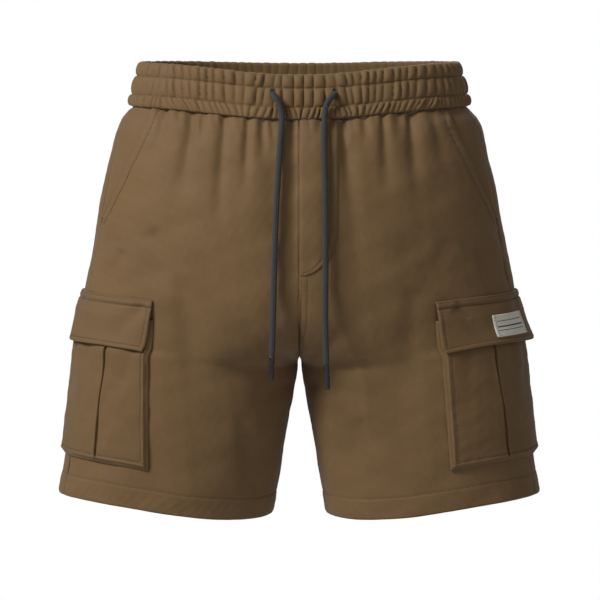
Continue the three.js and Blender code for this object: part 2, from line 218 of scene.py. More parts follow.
BACK_CREASES = [
    (-120, 20, -132, 120, 6, 2.4), (-92, 20, -98, 86, 5, 1.9), (-66, 20, -70, 140, 6, 2.3),
    (-36, 20, -38, 96, 5, 2), (-14, 20, -15, 70, 5, 1.7), (16, 20, 17, 108, 5, 2.1),
    (41, 20, 44, 78, 5, 1.9), (72, 20, 77, 132, 6, 2.3), (101, 20, 108, 90, 5, 1.9),
    (128, 20, 141, 118, 6, 2.2), (8, 268, 78, 238, 9, 2), (-8, 266, -84, 234, 9, 2.1),
    (12, 292, 96, 290, 11, 1.7), (-12, 296, -90, 302, 11, 1.6), (120, 240, 104, 404, 15, 1.7),
    (-124, 236, -100, 400, 15, 1.8), (56, 330, 42, 424, 12, 1.2), (-52, 334, -40, 424, 12, 1.2),
]


def creases(x, drop, table):
    """Soft troughs along straight lines: a bell across, and fading towards the far end."""
    total = np.zeros(np.broadcast(x, drop).shape)
    for row in table:
        crease = dict(zip(CREASE, row))
        dx, dd = crease["x1"] - crease["x0"], crease["drop1"] - crease["drop0"]
        length = math.hypot(dx, dd)
        u = ((x - crease["x0"]) * dx + (drop - crease["drop0"]) * dd) / length**2
        off = ((x - crease["x0"]) * dd - (drop - crease["drop0"]) * dx) / length
        spread = crease["width"] * (0.75 + 0.9 * np.clip(u, 0, 1))
        fade = smooth((u + 0.12) / 0.12) * (1 - smooth((u - 0.25) / 0.8))
        total -= CREASE_DEPTH * crease["depth"] * fade * bell(off, spread)
    return total


def ripple_noise(x, y, count, wave, seed):
    """Smooth unevenness: a sum of sine waves in seeded directions."""
    local = np.random.default_rng(seed)
    angle, phase = local.uniform(0, np.pi, count), local.uniform(0, 2 * np.pi, count)
    number = 2 * np.pi / (wave * local.uniform(0.6, 1.7, count))
    total = sum(
        np.sin((x * np.cos(a) + y * np.sin(a)) * n + p) for a, p, n in zip(angle, phase, number)
    )
    return total / math.sqrt(count)


def pinch(distance, along, depth=0.55, width=1.3, pitch=6.5):
    """The groove that a line of stitches pulls into cloth, with small cross puckers beside it."""
    groove = -depth * bell(distance, width)
    wave = np.sin(2 * np.pi * along / pitch + 0.9 * np.sin(along / 11))
    return groove + 0.32 * depth * bell(distance, 3.4 * width) * wave


# ---- making pieces
WEAVE_SCALE = 10  # the weave's pattern on a cloth piece, in units a metre


def finish_piece(obj, material, slot, *nodes):
    """Give a piece its material, the one body and the solids that it stands for; its slot is not used."""
    obj.data.materials.append(material)
    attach(obj, "root")
    if nodes:
        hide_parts(*nodes)
    return obj


def make_mesh(name, vertices, faces, uv=None):
    """A smooth mesh from millimetre points and faces, turned so that its volume is positive."""
    vertices = np.asarray(vertices, float) * MM
    faces = np.asarray(faces)
    a, b, c = (vertices[faces[:, k]] for k in range(3))
    volume = np.einsum("ij,ij->", a, np.cross(b, c))
    if faces.shape[1] == 4:
        volume += np.einsum("ij,ij->", a, np.cross(c, vertices[faces[:, 3]]))
    if volume < 0:
        faces = faces[:, ::-1]
    mesh = bpy.data.meshes.new(name)
    mesh.vertices.add(len(vertices))
    mesh.vertices.foreach_set("co", vertices.ravel())
    mesh.loops.add(faces.size)
    mesh.loops.foreach_set("vertex_index", faces.ravel())
    mesh.polygons.add(len(faces))
    mesh.polygons.foreach_set("loop_start", np.arange(0, faces.size, faces.shape[1]))
    mesh.polygons.foreach_set("use_smooth", np.ones(len(faces), bool))
    if uv is not None:
        layer = mesh.uv_layers.new(name="weave")
        layer.data.foreach_set("uv", (uv[faces.ravel()]).ravel())
    mesh.update(calc_edges=True)
    mesh.validate()
    obj = bpy.data.objects.new(f"sewn_{name}", mesh)
    bpy.context.collection.objects.link(obj)
    return obj


def cloth_wall(name, outer, inner, uv):
    """A closed wall between an outer and an inner grid of points, joined round the rim."""
    rows, columns = outer.shape[:2]
    number = np.arange(rows * columns).reshape(rows, columns)
    layer = rows * columns
    corners = (number[:-1, :-1], number[1:, :-1], number[1:, 1:], number[:-1, 1:])
    sheet = np.stack(corners, -1).reshape(-1, 4)
    loop = np.concatenate([number[0, :], number[1:, -1], number[-1, -2::-1], number[-2:0:-1, 0]])
    nxt = np.roll(loop, -1)
    rim = np.stack([loop, nxt, nxt + layer, loop + layer], -1)
    faces = np.concatenate([sheet, sheet[:, ::-1] + layer, rim])
    vertices = np.concatenate([outer.reshape(-1, 3), inner.reshape(-1, 3)])
    flat = uv.reshape(-1, 2) * MM * WEAVE_SCALE
    return make_mesh(name, vertices, faces, np.concatenate([flat, flat]))


def sew(name, material, slot, outer, inner, across, down):
    """A wall of cloth named for the solid that it stands for, its weave measured by two lengths."""
    wall = cloth_wall(name, outer, inner, np.stack([across, down], -1))
    return finish_piece(wall, material, slot, name)


def tube(name, centres, radii, sides=14):
    """A round tube: rings square to the path, closed by a point at each end."""
    tangent = np.gradient(centres, axis=0)
    tangent /= np.linalg.norm(tangent, axis=1, keepdims=True)
    across = np.cross(tangent, [1.0, 0.02, 0.01])
    across /= np.linalg.norm(across, axis=1, keepdims=True)
    other = np.cross(tangent, across)
    angle = np.linspace(0, 2 * np.pi, sides, endpoint=False)
    cosine, sine = np.cos(angle)[None, :, None], np.sin(angle)[None, :, None]
    spoke = cosine * across[:, None] + sine * other[:, None]
    rings = centres[:, None] + spoke * np.asarray(radii)[:, None, None]
    count = len(centres)
    number = np.arange(count * sides).reshape(count, sides)
    nxt = np.roll(number, -1, axis=1)
    faces = np.stack([number[:-1], nxt[:-1], nxt[1:], number[1:]], -1).reshape(-1, 4)
    ends = [(nxt[0], number[0], count * sides), (number[-1], nxt[-1], count * sides + 1)]
    caps = [np.stack([a, b, np.full(sides, tip)], -1) for a, b, tip in ends]
    triangles = np.concatenate([faces[:, [0, 1, 2]], faces[:, [0, 2, 3]], *caps])
    vertices = np.concatenate([rings.reshape(-1, 3), centres[:1], centres[-1:]])
    length = length_along(centres)
    uv = np.stack(np.broadcast_arrays(angle[None, :] / (2 * np.pi), length[:, None]), -1).reshape(-1, 2)
    uv = np.concatenate([uv, [[0, 0], [0, length[-1]]]])
    return make_mesh(name, vertices, triangles, uv)


SPINDLE_SIDES = 5
SPINDLE_RINGS = ((-0.42, 0.75, 0.05), (0, 1, 0.3), (0.42, 0.75, 0.05))  # place, size and rise
SPINDLE_SINK = -0.1  # how far a stitch's pointed ends go into the cloth


def spindle():
    """One stitch a unit long: rings of points between two pointed ends, and the triangles over them."""
    sides = SPINDLE_SIDES
    angle = np.linspace(0, 2 * np.pi, sides, endpoint=False)
    points = [(-0.5, 0, SPINDLE_SINK)]
    for along, size, rise in SPINDLE_RINGS:
        points += [(along, size * np.cos(a), size * np.sin(a) + rise) for a in angle]
    points.append((0.5, 0, SPINDLE_SINK))
    faces = []
    for k in range(sides):
        n = (k + 1) % sides
        faces.append((0, 1 + n, 1 + k))
        for a in (1, 1 + sides):
            b = a + sides
            faces += [(a + k, a + n, b + n), (a + k, b + n, b + k)]
        faces.append((1 + 3 * sides, 1 + 2 * sides + k, 1 + 2 * sides + n))
    return np.array(points), np.array(faces)


def read_line(values, total, at):
    """Values given at a line's points, read at other lengths along it."""
    return np.stack([np.interp(at, total, values[:, k]) for k in range(3)], -1)


def stitches(name, material, lines, length=2.7, gap=1.0, thick=0.32, slot="body_cloth"):
    """Rows of thread: each stitch is a small spindle lying along its line, all joined in one mesh.
    A line is its points and the directions out of the cloth at them."""
    centres, tangents, normals = [], [], []
    for points, out in lines:
        total = length_along(points)
        at = np.arange(length / 2, total[-1] - length / 2, length + gap)
        if not len(at):
            continue
        centres.append(read_line(points, total, at))
        tangents.append(read_line(points, total, at + 0.5) - read_line(points, total, at - 0.5))
        normals.append(read_line(out, total, at))
    centre, tangent, normal = (np.concatenate(v) for v in (centres, tangents, normals))
    tangent /= np.linalg.norm(tangent, axis=1, keepdims=True)
    across = np.cross(tangent, normal)
    across /= np.linalg.norm(across, axis=1, keepdims=True)
    normal = np.cross(across, tangent)
    shape, triangles = spindle()
    vertices = (centre[:, None] + tangent[:, None] * (shape[:, 0] * length)[None, :, None]
                + across[:, None] * (shape[:, 1] * thick)[None, :, None]
                + normal[:, None] * (shape[:, 2] * thick)[None, :, None])
    first = (np.arange(len(centre)) * len(shape))[:, None, None]
    faces = (triangles[None] + first).reshape(-1, 3)
    return finish_piece(make_mesh(name, vertices.reshape(-1, 3), faces), material, slot)


# ---- materials
class Value:
    """A socket whose operators add Math nodes."""

    def __init__(self, shader, socket):
        self.shader, self.socket = shader, socket

    def math(self, operation, *others):
        """Any Math node on this value."""
        inputs = dict(enumerate([self, *others]))
        return self.shader.node("ShaderNodeMath", {"operation": operation}, inputs)["Value"]

    def __add__(self, other):
        return self.math("ADD", other)

    def __sub__(self, other):
        return self.math("SUBTRACT", other)

    def __rsub__(self, other):
        return self.math("MULTIPLY", -1).math("ADD", other)

    def __mul__(self, other):
        return self.math("MULTIPLY", other)

    def __lt__(self, other):
        return self.math("LESS_THAN", other)

    __radd__ = __add__
    __rmul__ = __mul__


class Shader:
    """A material's nodes, made one at a time by node()."""

    def __init__(self, name):
        self.material = bpy.data.materials.new(name)
        self.material.use_nodes = True
        self.tree = self.material.node_tree
        self.tree.nodes.clear()

    def node(self, kind, settings=None, inputs=None):
        """Any node, with its settings and its inputs, as its outputs by name."""
        made = self.tree.nodes.new(kind)
        for key, value in (settings or {}).items():
            setattr(made, key, value)
        for key, value in (inputs or {}).items():
            if isinstance(value, Value):
                self.tree.links.new(value.socket, made.inputs[key])
            else:
                made.inputs[key].default_value = value
        return {out.name: Value(self, out) for out in made.outputs if out.enabled}

    def noise(self, scale, detail):
        """Cloudy unevenness that is fixed to the piece."""
        place = self.node("ShaderNodeTexCoord")["Object"]
        inputs = {"Vector": place, "Scale": scale, "Detail": detail}
        return self.node("ShaderNodeTexNoise", None, inputs)["Fac"]

    def mix(self, factor, a, b):
        """A colour between a and b."""
        made = self.tree.nodes.new("ShaderNodeMix")
        made.data_type = "RGBA"
        for index, value in ((0, factor), (6, a), (7, b)):
            if isinstance(value, Value):
                self.tree.links.new(value.socket, made.inputs[index])
            else:
                made.inputs[index].default_value = value
        return Value(self, made.outputs[2])

    def bump(self, strength, distance, height):
        """A surface direction roughened by a height."""
        inputs = {"Strength": strength, "Distance": distance, "Height": height}
        return self.node("ShaderNodeBump", None, inputs)["Normal"]

    def finish(self, inputs):
        """End the material with one ordinary surface."""
        return self.surface(self.node("ShaderNodeBsdfPrincipled", None, inputs)["BSDF"])

    def surface(self, shader):
        """End the material with its surface."""
        self.node("ShaderNodeOutputMaterial", None, {"Surface": shader})
        return self.material


def linear(*srgb):
    """A colour written as it looks, in the shader's linear numbers."""
    return tuple(c / 12.92 if c <= 0.04045 else ((c + 0.055) / 1.055) ** 2.4 for c in srgb) + (1.0,)


def cloth_material(name, light, dark):
    """Plain-woven cotton: fine twill ridges, slubs and a cloudy colour, matt with a faint sheen."""
    s = Shader(name)
    place = s.node("ShaderNodeTexCoord")
    cloud = s.noise(16.0, 3.0)
    mottle = s.noise(420.0, 4.0)
    twill = s.node("ShaderNodeTexWave", {"bands_direction": "DIAGONAL"},
                   {"Vector": place["UV"], "Scale": 28.0, "Distortion": 0.7, "Detail": 2.0})["Fac"]
    shade = cloud * 0.45 + mottle * 0.4 + twill * 0.15
    normal = s.bump(0.35, 0.0004, mottle * 0.6 + twill * 0.4)
    return s.finish({
        "Base Color": s.mix(shade, dark, light), "Roughness": 0.62 + mottle * 0.2, "Normal": normal,
        "Sheen Weight": 0.12, "Sheen Roughness": 0.45, "Specular IOR Level": 0.35})


def thread_material(name, colour, roughness):
    """Spun thread in two tones of its fibres."""
    s = Shader(name)
    fibre = s.noise(900.0, 2.0)
    dark = tuple(0.6 * c for c in colour[:3]) + (1.0,)
    colour = s.mix(fibre, dark, colour)
    return s.finish({"Base Color": colour, "Roughness": roughness, "Sheen Weight": 0.15})


PLAITS, PLAIT_PITCH = 8, 3.2  # plaits round the cord, and millimetres along it for each


def cord_material():
    """Charcoal braid: crossing diagonal plaits from the cord's own turn and length, painted lighter on
    their crowns and darker in their hollows as shade, with random fibre fuzz.
    """
    s = Shader("braided_cord")
    place = s.node("ShaderNodeTexCoord")
    split = s.node("ShaderNodeSeparateXYZ", None, {"Vector": place["UV"]})
    turn, length = split["X"] * (2 * math.pi * PLAITS), split["Y"] * (2 * math.pi / PLAIT_PITCH)
    plait = (turn + length).math("SINE") * (turn - length).math("SINE")
    fuzz = s.noise(1500.0, 2.0)
    height = plait * 0.5 + fuzz * 0.5
    normal = s.bump(0.7, 0.0006, height)
    # painted shade: the colour follows the braid's height, darker in the plaits' hollows, mottled by random
    # fibre fuzz
    colour = s.mix(height * 0.5 + 0.4, linear(0.11, 0.115, 0.12), linear(0.235, 0.24, 0.25))
    return s.finish({"Base Color": colour, "Roughness": 0.72, "Normal": normal, "Sheen Weight": 0.1})


def aglet_material():
    """Moulded tip: nearly black, glossy and a little hazy."""
    s = Shader("aglet_plastic")
    haze = s.noise(260.0, 3.0)
    colour = s.mix(haze, linear(0.1, 0.1, 0.11), linear(0.16, 0.16, 0.17))
    return s.finish({"Base Color": colour, "Roughness": 0.2 + haze * 0.14, "Coat Weight": 0.4})


def patch_material():
    """Cream tape with three plain dark stripes that stop short of its ends, and a fine rib."""
    s = Shader("patch_tape")
    place = s.node("ShaderNodeTexCoord")
    split = s.node("ShaderNodeSeparateXYZ", None, {"Vector": place["UV"]})
    across, down = split["X"], split["Y"]

    def within(value, start, end):
        """1 from start to end, and 0 elsewhere."""
        return (value < end) * (1 - (value < start))

    bar = within(down, 0.5, 0.56) + within(down, 0.69, 0.72) + within(down, 0.27, 0.3)
    inputs = {"Vector": place["UV"], "Scale": 9.0}
    rib = s.node("ShaderNodeTexWave", {"bands_direction": "Y"}, inputs)["Fac"]
    fleck = s.noise(700.0, 3.0)
    cream = s.mix(fleck, linear(0.76, 0.74, 0.69), linear(0.9, 0.88, 0.83))
    normal = s.bump(0.3, 0.0003, rib * 0.5 + fleck * 0.5)
    colour = s.mix(bar * within(across, 0.1, 0.9), cream, linear(0.17, 0.17, 0.18))
    return s.finish({"Base Color": colour, "Roughness": 0.7, "Normal": normal})


BODY = cloth_material("body_twill", linear(0.485, 0.375, 0.235), linear(0.385, 0.29, 0.17))
POCKETS = cloth_material("pocket_twill", linear(0.47, 0.362, 0.222), linear(0.37, 0.277, 0.16))
THREAD = thread_material("tonal_thread", linear(0.36, 0.275, 0.17), 0.6)
# painted shade: the near-black colour of the buttonhole slits stands for the shade inside them
HOLE = thread_material("buttonhole_shade", linear(0.1, 0.08, 0.06), 0.9)


# ---- camera, light and backdrop
CAMERA = {"aim": -227 * MM, "distance": 3.0, "pitch": math.radians(5.7), "lens": 171.4, "shift": 1 / 1200}
LAMP_AIM = (0, 0, -0.2)
LAMPS = {  # place, size and power
    "key": ((-1.9, -1.5, 1.5), 0.9, 78),
    "fill": ((1.7, -2.2, 0.3), 1.8, 7),
    "rim": ((0.3, 2.2, 1.3), 1.8, 16),
}
SURROUND_LIGHT = 0.2  # strength of the white surround, where it isn't seen directly
FLOOR_SIZE, FLOOR_HEIGHT = 6000, -780


def set_camera():
    """A long lens, a little above the garment and square to its front."""
    distance, pitch = CAMERA["distance"], CAMERA["pitch"]
    camera = bpy.data.objects.new("camera", bpy.data.cameras.new("camera"))
    camera.location = (0, -distance * math.cos(pitch), CAMERA["aim"] + distance * math.sin(pitch))
    camera.rotation_euler = (math.pi / 2 - pitch, 0, 0)
    camera.data.lens = CAMERA["lens"]
    camera.data.shift_x = CAMERA["shift"]
    bpy.context.collection.objects.link(camera)
    bpy.context.scene.camera = camera


def set_lamp(name, place, size, power):
    """A square lamp that faces the garment's middle."""
    data = bpy.data.lights.new(name, "AREA")
    data.size = size
    data.energy = power
    lamp = bpy.data.objects.new(name, data)
    lamp.location = place
    aim = np.array(LAMP_AIM) - np.array(place)
    tilt = math.acos(-aim[2] / np.linalg.norm(aim))
    lamp.rotation_euler = (tilt, 0, math.atan2(aim[1], aim[0]) - math.pi / 2)
    bpy.context.collection.objects.link(lamp)


def set_surround():
    """White where it is seen directly, and much dimmer as a light on the garment."""
    world = bpy.data.worlds.new("studio")
    bpy.context.scene.world = world
    world.use_nodes = True
    nodes, links = world.node_tree.nodes, world.node_tree.links
    nodes.clear()
    path = nodes.new("ShaderNodeLightPath")
    back = nodes.new("ShaderNodeBackground")
    seen = nodes.new("ShaderNodeMath")
    seen.operation = "MAXIMUM"
    links.new(path.outputs["Is Camera Ray"], seen.inputs[0])
    links.new(path.outputs["Is Transmission Ray"], seen.inputs[1])
    strength = nodes.new("ShaderNodeMapRange")
    strength.inputs["To Min"].default_value = SURROUND_LIGHT
    links.new(seen.outputs[0], strength.inputs["Value"])
    links.new(strength.outputs["Result"], back.inputs["Strength"])
    back.inputs["Color"].default_value = (1, 1, 1, 1)
    out = nodes.new("ShaderNodeOutputWorld")
    links.new(back.outputs["Background"], out.inputs["Surface"])
    bpy.context.scene.view_settings.view_transform = "Standard"


def pale_floor():
    """A wide level floor below the garment, white where it is seen directly."""
    s = Shader("pale_floor")
    path = s.node("ShaderNodeLightPath")
    white = s.node("ShaderNodeEmission", None, {"Strength": 1.0})["Emission"]
    paint = s.node("ShaderNodeBsdfDiffuse", None, {"Color": (0.5, 0.5, 0.5, 1)})["BSDF"]
    blend = s.node("ShaderNodeMixShader", None, {0: path["Is Camera Ray"], 1: paint, 2: white})
    material = s.surface(blend["Shader"])
    turns = ((-1, -1), (1, -1), (1, 1), (-1, 1))
    corners = [(FLOOR_SIZE * a, FLOOR_SIZE * b, FLOOR_HEIGHT) for a, b in turns]
    floor = make_mesh("floor", corners, [(0, 1, 2, 3)])
    floor.data.materials.append(material)


set_camera()
for name, lamp in LAMPS.items():
    set_lamp(name, *lamp)
set_surround()
pale_floor()

# ---- drawcords and aglets
CORD_DIAMETER = 6.2
CORD_ROUTES = {
    "left": [
        (35.2, -100.6, -8.5), (34.3, -104.8, -9.4), (31.6, -108.2, -12), (28.2, -109, -17),
        (25.9, -110, -25), (25, -112.6, -35), (24.5, -118.3, -48), (24.8, -123.6, -70),
        (25.5, -126.2, -91), (25.9, -127.8, -112), (26.1, -128.6, -134), (26.2, -128.7, -160),
        (26.2, -128.3, -186), (26.1, -127.6, -208), (26, -127, -229), (26.3, -126.4, -256),
        (27.3, -126, -281),
    ],
    "right": [
        (-27.3, -100.5, -8.5), (-26.6, -104.6, -9.4), (-24.4, -107.8, -12), (-21, -108.6, -17),
        (-18.6, -109.4, -25), (-17.8, -112, -35), (-18.7, -117.6, -48), (-20.2, -122.8, -70),
        (-21.5, -125.4, -91), (-22.7, -127, -112), (-23.7, -127.8, -134), (-24.7, -127.9, -160),
        (-25.4, -127.5, -186), (-26, -126.9, -208), (-26.5, -126.4, -229), (-27.2, -125.9, -251),
        (-27.9, -125.5, -272),
    ],
}
AGLET_RADIUS, AGLET_STRAIGHT, AGLET_TIP = 2.8, 21.5, 4
CORD_PINCH = 6  # length over which the cord narrows into its aglet


def smooth_path(points, count):
    """A curve through the points: cubic pieces whose slopes come from the neighbours' chords."""
    points = np.array(points, float)
    at = length_along(points)
    slope = np.gradient(points, at, axis=0)
    u = np.linspace(0, at[-1], count)
    k = np.clip(np.searchsorted(at, u, side="right") - 1, 0, len(at) - 2)
    span = (at[k + 1] - at[k])[:, None]
    v = (u[:, None] - at[k][:, None]) / span
    a, b, p, q = points[k], points[k + 1], slope[k] * span, slope[k + 1] * span
    return a + v * (p + v * (3 * (b - a) - 2 * p - q + v * (2 * (a - b) + p + q)))


def drawcord(word, route):
    """A braided tube that narrows into its aglet, a smooth tip turned about the cord's end."""
    path = smooth_path(route, 220)
    length = length_along(path)
    narrow = 1 - 0.2 * smooth((length - length[-1] + CORD_PINCH) / CORD_PINCH)
    cord = tube(f"drawcord_{word}", path, CORD_DIAMETER / 2 * narrow)
    finish_piece(cord, cord_material(), "drawcord", f"drawcord_{word}")
    end, direction = path[-1], (path[-1] - path[-4]) / np.linalg.norm(path[-1] - path[-4])
    rounding = AGLET_STRAIGHT + 3.9 * np.sin(np.linspace(0.15, 1.5, 8))
    along = np.concatenate([[0, 0.2], np.linspace(0.8, AGLET_STRAIGHT, 12), rounding])
    tip = np.sqrt(np.clip(1 - ((along - AGLET_STRAIGHT) / AGLET_TIP) ** 2, 0, 1))
    radius = AGLET_RADIUS * np.where(along > AGLET_STRAIGHT, tip, 1)
    radius[0] = 2.3
    radius[3] *= 0.985
    aglet = tube(f"aglet_{word}", end + direction * (along[:, None] - 0.2), radius, 24)
    finish_piece(aglet, aglet_material(), "aglet", f"aglet_{word}")
    [c * MM for c in path[0]]
    path * MM


for word, route in CORD_ROUTES.items():
    drawcord(word, route)


# ---- waistband
def gather_places(seed, spacing, span=320):
    """Uneven places of the creases between gathers, from a seed and the least and most spacing."""
    local = np.random.default_rng(seed)
    places = np.cumsum(local.uniform(*spacing, 140))
    places = places - places[-1] / 2
    return places[(places > -span) & (places < span)]


def gathers(q, places, seed):
    """Rounded puffs between narrow creases, each puff with its own height."""
    phase = np.interp(q, places, np.arange(len(places)))
    u = phase - np.floor(phase)
    heights = np.random.default_rng(seed).uniform(0.55, 1.25, len(places) + 1)
    return heights[np.floor(phase).astype(int)] * np.sqrt(np.clip(4 * u * (1 - u), 0, 1))


BAND_SEEDS = {"waistband_front": 3, "waistband_back": 8}
BAND_COLUMNS = 230  # from the centre to the side
BAND_GAP_T = 0.0017  # left open between the halves at each side
BAND_WALL = 2.2
BAND_MIDDLE = -1.0  # lift of the middle of the wall, where the top edge is rounded


BAND_SPACING = {"long": (6.5, 12), "fine": (4.5, 8.5)}  # least and most between gathers
BAND_SWELL = {"row": 0.3, "puff": 3.1, "stitched": 0.9}  # heights of a row, its puffs, and both at its edge


def band_lift(q, drop, seed):
    """Three puffed rows: each swells between its stitches and is creased across by the gathers."""
    edges = (BAND_TOP, *BAND_STITCHES, WAIST_SEAM)
    wander = 1.3 * np.sin(q / 23 + seed) + 0.8 * np.sin(q / 9.1 + 2 * seed)
    long_places = gather_places(seed, BAND_SPACING["long"])
    fine_places = gather_places(seed + 1, BAND_SPACING["fine"])
    lift = np.zeros(q.shape)
    crease = np.zeros(q.shape)
    for k in range(3):
        v = np.clip((drop - edges[k]) / (edges[k + 1] - edges[k]), 0, 1)
        inside = (drop >= edges[k]) & (drop <= edges[k + 1])
        swell = np.sqrt(np.clip(1 - (2 * v - 1) ** 2, 0, 1))
        fine = k == 2
        slant = 0.25 * (drop - edges[k]) * np.sign(q) if fine else 0
        lean = q + wander * (v - 0.5) * (4 if fine else 1.5) + slant
        puff = gathers(lean, fine_places if fine else long_places, seed + 10 + k)
        raised = swell * (BAND_SWELL["row"] + BAND_SWELL["puff"] * puff) + BAND_SWELL["stitched"] * puff
        lift = np.where(inside, raised, lift)
        crease = np.where(inside, puff, crease)
    return lift, crease


def waistband_half(name, centre):
    """A ring of puffed cloth whose top edge is folded over in a round."""
    edge = 1 - BAND_GAP_T
    u = np.linspace(-edge, edge, 2 * BAND_COLUMNS + 1)
    drops = np.concatenate([
        BAND_TOP + np.array([0, 0.3, 0.9, 1.8]), np.linspace(-19.5, -9.2, 9), [-8.6, -8, -7.4],
        np.linspace(-6, 9.4, 13), [10.3, 11, 11.7], np.linspace(13, 21.4, 9), [22.2, 22.85]])
    uu, dd = np.meshgrid(u, drops)
    t = np.abs(uu) if centre == 0 else 2 - np.abs(uu)
    centre_run = run_at_t(np.full_like(dd, centre), dd)
    q = np.sign(uu) * np.abs(centre_run - run_at_t(t, dd))
    lift, puff = band_lift(q, dd, BAND_SEEDS[name])
    roll = np.sqrt(1 - (1 - np.clip((dd - BAND_TOP) / 2.4, 0, 1)) ** 2)
    roll = np.maximum(roll, 0.12)
    rise = 0.7 * (puff - 0.6) * (1 - smooth((dd - BAND_TOP) / 5))
    under = -BAND_WALL - 0.9 * puff * np.clip(roll, 0, 1)
    side_tuck = -0.9 * bell((1 - np.abs(uu)) * 90, 1.6)
    outer = on_form(1, t, dd, BAND_MIDDLE + (lift - BAND_MIDDLE) * roll + side_tuck)
    inner = on_form(1, t, dd, BAND_MIDDLE + (under - BAND_MIDDLE) * roll)
    for grid in (outer, inner):
        grid[..., 0] = np.where(uu == 0, 0, grid[..., 0] * np.where(uu < 0, -1, 1))
        grid[..., 2] += rise
    band = sew(name, BODY, "body_cloth", outer, inner, q, dd)
    return [outer[int(np.argmin(np.abs(drops - drop)))] for drop in BAND_STITCHES]


def outward(points):
    """Level directions away from the garment's upright middle, for stitches on a ring."""
    out = points * [1, 1, 0]
    return out / np.linalg.norm(out, axis=1, keepdims=True)


band_lines = waistband_half("waistband_front", 0) + waistband_half("waistband_back", 2)
stitches("waistband_stitches", THREAD, [(p + 0.25 * outward(p), outward(p)) for p in band_lines])


BUTTONHOLES = {"left": 35.2, "right": -27.3}
BUTTONHOLE_DROP = -2.2


def on_band(side, x, drop, extra):
    """A point on the front waistband's puffed face, x out from the middle."""
    t = t_at_x(x, drop)
    q = side * np.abs(run_at_t(np.zeros_like(drop), drop) - run_at_t(t, drop))
    return on_form(side, t, drop, band_lift(q, drop, BAND_SEEDS["waistband_front"])[0] + extra)


def buttonholes():
    """Each is an upright slit in the band's middle row, painted dark for the shade inside the hole, an
    ellipse shrunk to its middle by a second parameter, with a satin rim of short threads that cross its
    edge."""
    angle = np.linspace(0, 2 * np.pi, 37)[:-1]
    lines = []
    for word, x in BUTTONHOLES.items():
        side = SIDES[word]
        size = np.linspace(0, 1, 8)[:, None]
        wide, high = abs(x) + 1.3 * size * np.cos(angle), BUTTONHOLE_DROP + 5.0 * size * np.sin(angle)
        layers = [on_band(side, wide, high, extra) for extra in (0.2, -0.3)]
        closed = [np.concatenate([grid, grid[:, :1]], axis=1) for grid in layers]
        marks = np.stack(np.broadcast_arrays(size, np.append(angle, 0)), -1)
        slit = cloth_wall(f"buttonhole_{word}", *closed, marks)
        # the slit is a dark sheet of painted shade over the hole
        finish_piece(slit, HOLE, "body_cloth")
        reach = np.linspace(0.75, 1.45, 4)
        wide = abs(x) + 2.4 * reach * np.cos(angle)[:, None]
        high = BUTTONHOLE_DROP + 6.1 * (0.2 + 0.7 * reach) * np.sin(angle)[:, None]
        lines += [(spoke, outward(spoke)) for spoke in on_band(side, wide, high, 0.3)]
    stitches("buttonhole_stitches", THREAD, lines, length=1.9, gap=0.4, thick=0.34)


buttonholes()

# ---- fronts and backs
SLANT = {"top_x": 150, "bottom_x": 199, "bottom_drop": 130}
GAP_T = 0.00045  # left open at the side seam, on each of its sides
PANEL_TOP = 23.2  # the drop where panels start, just under the waist seam
FORK_DROP = 262  # above it the left and right meet at the very middle
MOUTH_END = 136  # the drop where the pocket mouth's turned edge dies away
MOUTH_STITCH, SEAT_STITCH, CENTRE_STITCHES = 9, 6.5, (1.6, 7.5)  # distances from their seams
THREAD_LIFT = 0.2  # how far thread lies above the cloth
PANELS = {
    "front": {"flat": (330, 430), "area": 0.112, "middle": 0, "creases": FRONT_CREASES, "seed": 2},
    "back": {"flat": (390, 445), "area": 0.135, "middle": 2, "creases": BACK_CREASES, "seed": 5},
}


def slant_x(drop):
    """How far out the slanted pocket mouth lies: a straight line from the waist seam down."""
    u = (drop - WAIST_SEAM) / (SLANT["bottom_drop"] - WAIST_SEAM)
    return SLANT["top_x"] + (SLANT["bottom_x"] - SLANT["top_x"]) * u


def t_side_seam(drop):
    """t of the side seam, which lies a little in front of the side line."""
    return t_at_run(SIDE_SEAM_RUN, drop)


def t_front_edge(drop):
    """t of a front's outer edge: the pocket mouth, then the side seam below it."""
    return np.minimum(t_at_x(slant_x(drop), drop), t_side_seam(drop))


HEM_ROPES = {"stand": 0.35, "height": 0.28, "slant": 0.9, "pitch": 11}
PUCKERS = {"height": 2.3, "fade": 11, "spacing": (6, 13), "reach": 260, "drift": 1.5}  # at the waist seam
FLUTES = {"height": 1.1, "fade": 45}  # wider upright folds that hang from the waist seam
UNEVEN = ((0.6, 7, 46, 20), (0.16, 9, 15, 30))  # height, count and length of waves, and seed


def hem_relief(along, drop):
    """The turned-up hem stands a little proud, with slanting ropy ripples between stitch and edge."""
    inside = smooth((drop - HEM_STITCH + 1) / 2)
    leaning = (along + HEM_ROPES["slant"] * (drop - HEM_STITCH)) * 2 * np.pi / HEM_ROPES["pitch"]
    ropes = HEM_ROPES["height"] * np.sin(leaning + 1.3 * np.sin(along / 17))
    share = np.clip((drop - HEM_STITCH) / (HEM - HEM_STITCH), 0, 1)
    return inside * (HEM_ROPES["stand"] + ropes * np.sin(np.pi * share))


def panel_relief(x, run, drop, table, seed):
    """All that shapes a panel: long creases, puckers under the waist seam, soft unevenness, the hem."""
    relief = creases(x, drop, table)
    below = drop - WAIST_SEAM
    places = gather_places(seed, PUCKERS["spacing"], PUCKERS["reach"])
    puckers = gathers(x + PUCKERS["drift"] * np.sin(drop / 9), places, seed + 4) - 0.6
    relief += PUCKERS["height"] * puckers * np.exp(-np.maximum(below, 0) / PUCKERS["fade"])
    flutes = np.sin(x / 9.5 + 1.4 * np.sin(x / 31 + seed))
    relief += FLUTES["height"] * flutes * np.exp(-np.maximum(below, 0) / FLUTES["fade"])
    for height, count, wave, extra in UNEVEN:
        relief += height * ripple_noise(x, drop, count, wave, seed + extra)
    relief -= 1.3 * bell(below, 1.6)
    relief += pinch(drop - HEM_STITCH, run, 0.5) + hem_relief(run, drop)
    return relief


